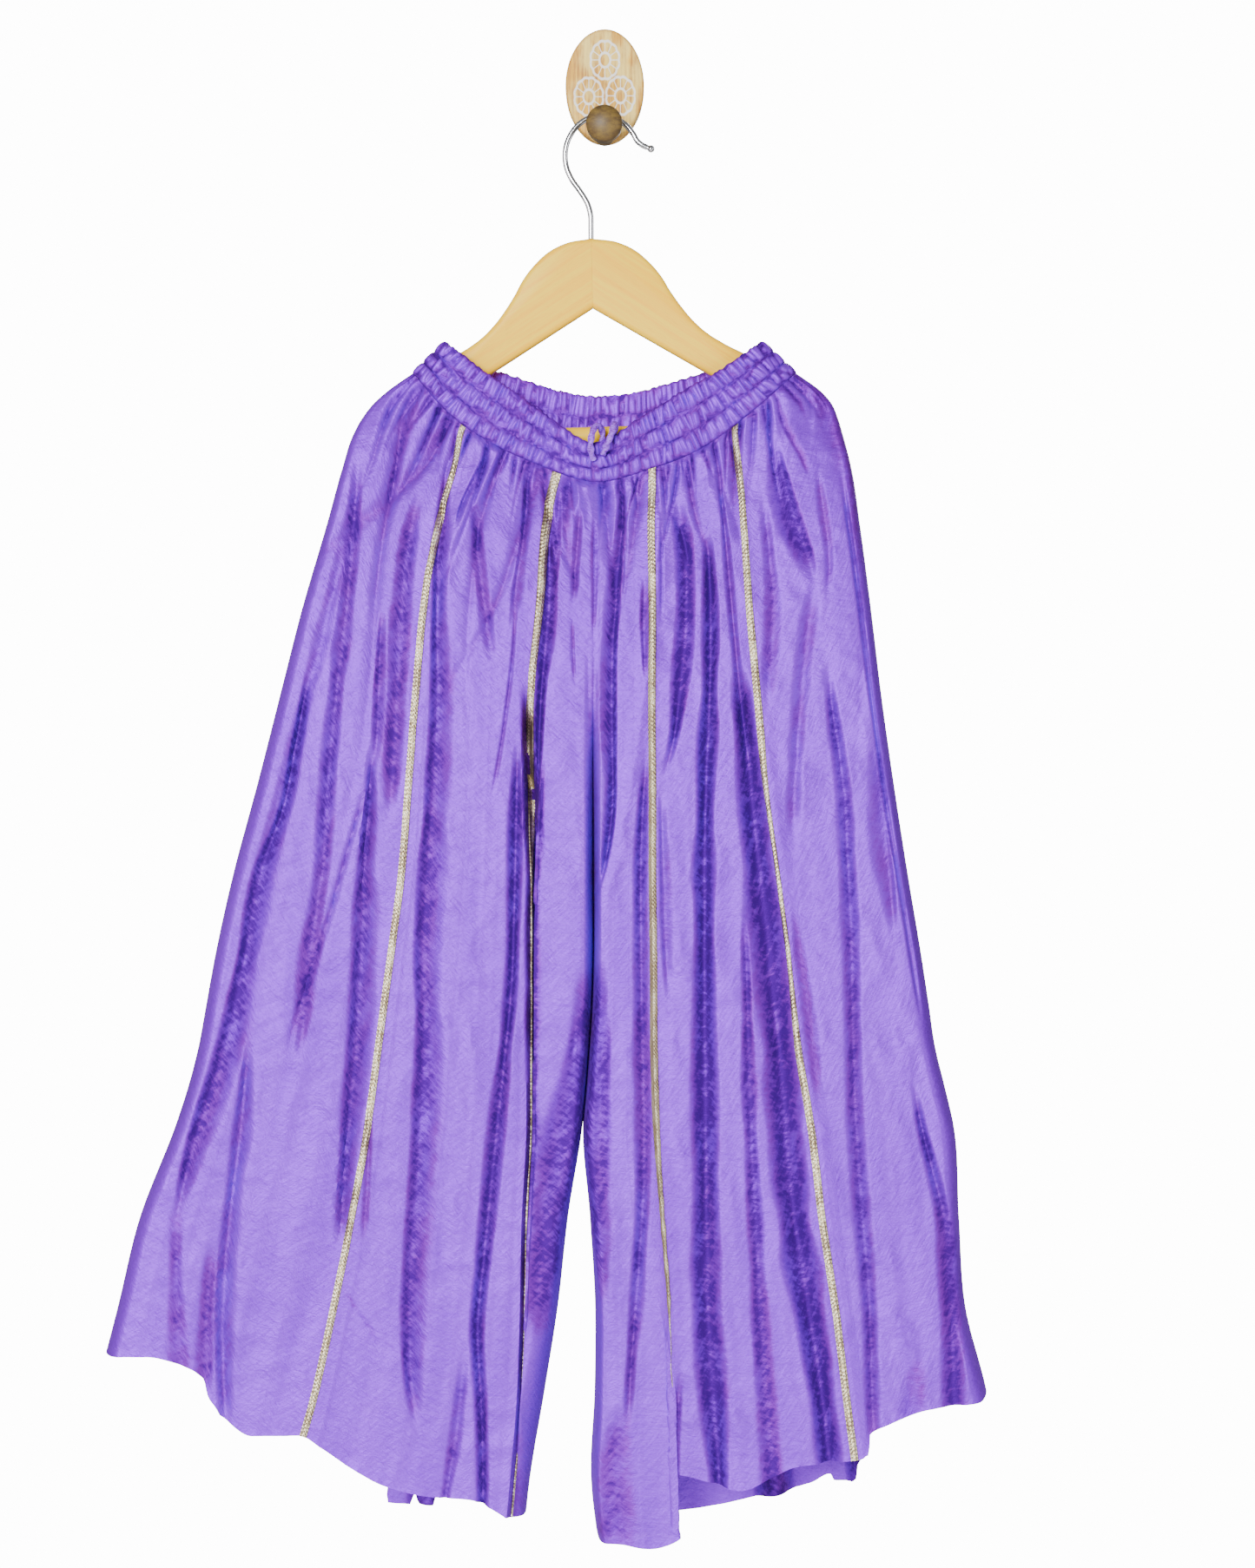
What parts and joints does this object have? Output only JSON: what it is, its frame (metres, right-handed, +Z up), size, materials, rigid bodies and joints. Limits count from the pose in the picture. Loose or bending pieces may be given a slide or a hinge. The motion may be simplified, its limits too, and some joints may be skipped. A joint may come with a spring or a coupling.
{
  "type": "sharara trousers on a wooden hanger and wall hook",
  "caption": "Child's wide gathered satin sharara trousers with gota edging, hung by the elastic waistband on a wooden hanger from a peg on an oval wall plate.",
  "frame": {"origin": "centre of the wall plate's flat back face", "axes": "+Y into the wall, +Z up, the front of the trousers faces -Y"},
  "size_m": [0.5553, 0.0811, 0.9593],
  "materials": {
    "satin": "violet satin with a fine crosswise slub",
    "edging": "woven metallic silver-gold edging",
    "pale_wood": "clear lacquered pale wood",
    "plate_wood": "limed light brown wood with worn edges",
    "dark_wood": "stained olive brown wood",
    "chrome": "polished"
  },
  "bodies": {
    "root": {"waistband_front": "satin", "waistband_back": "satin", "leg_l_front_side": "satin", "leg_l_front_middle": "satin", "leg_l_front_inner": "satin", "leg_r_front_inner": "satin", "leg_r_front_middle": "satin", "leg_r_front_side": "satin", "leg_l_back_side": "satin", "leg_l_back_middle": "satin", "leg_l_back_inner": "satin", "leg_r_back_inner": "satin", "leg_r_back_middle": "satin", "leg_r_back_side": "satin", "drawstring_l": "satin", "drawstring_r": "satin", "tape_l_outer": "edging", "tape_l_inner": "edging", "tape_r_inner": "edging", "tape_r_outer": "edging", "hanger_arm_l": "pale_wood", "hanger_arm_r": "pale_wood", "hanger_bar": "pale_wood", "hanger_hook": "chrome", "wall_plate": "plate_wood", "peg_neck": "dark_wood", "peg_knob": "dark_wood"}
  },
  "joints": []
}
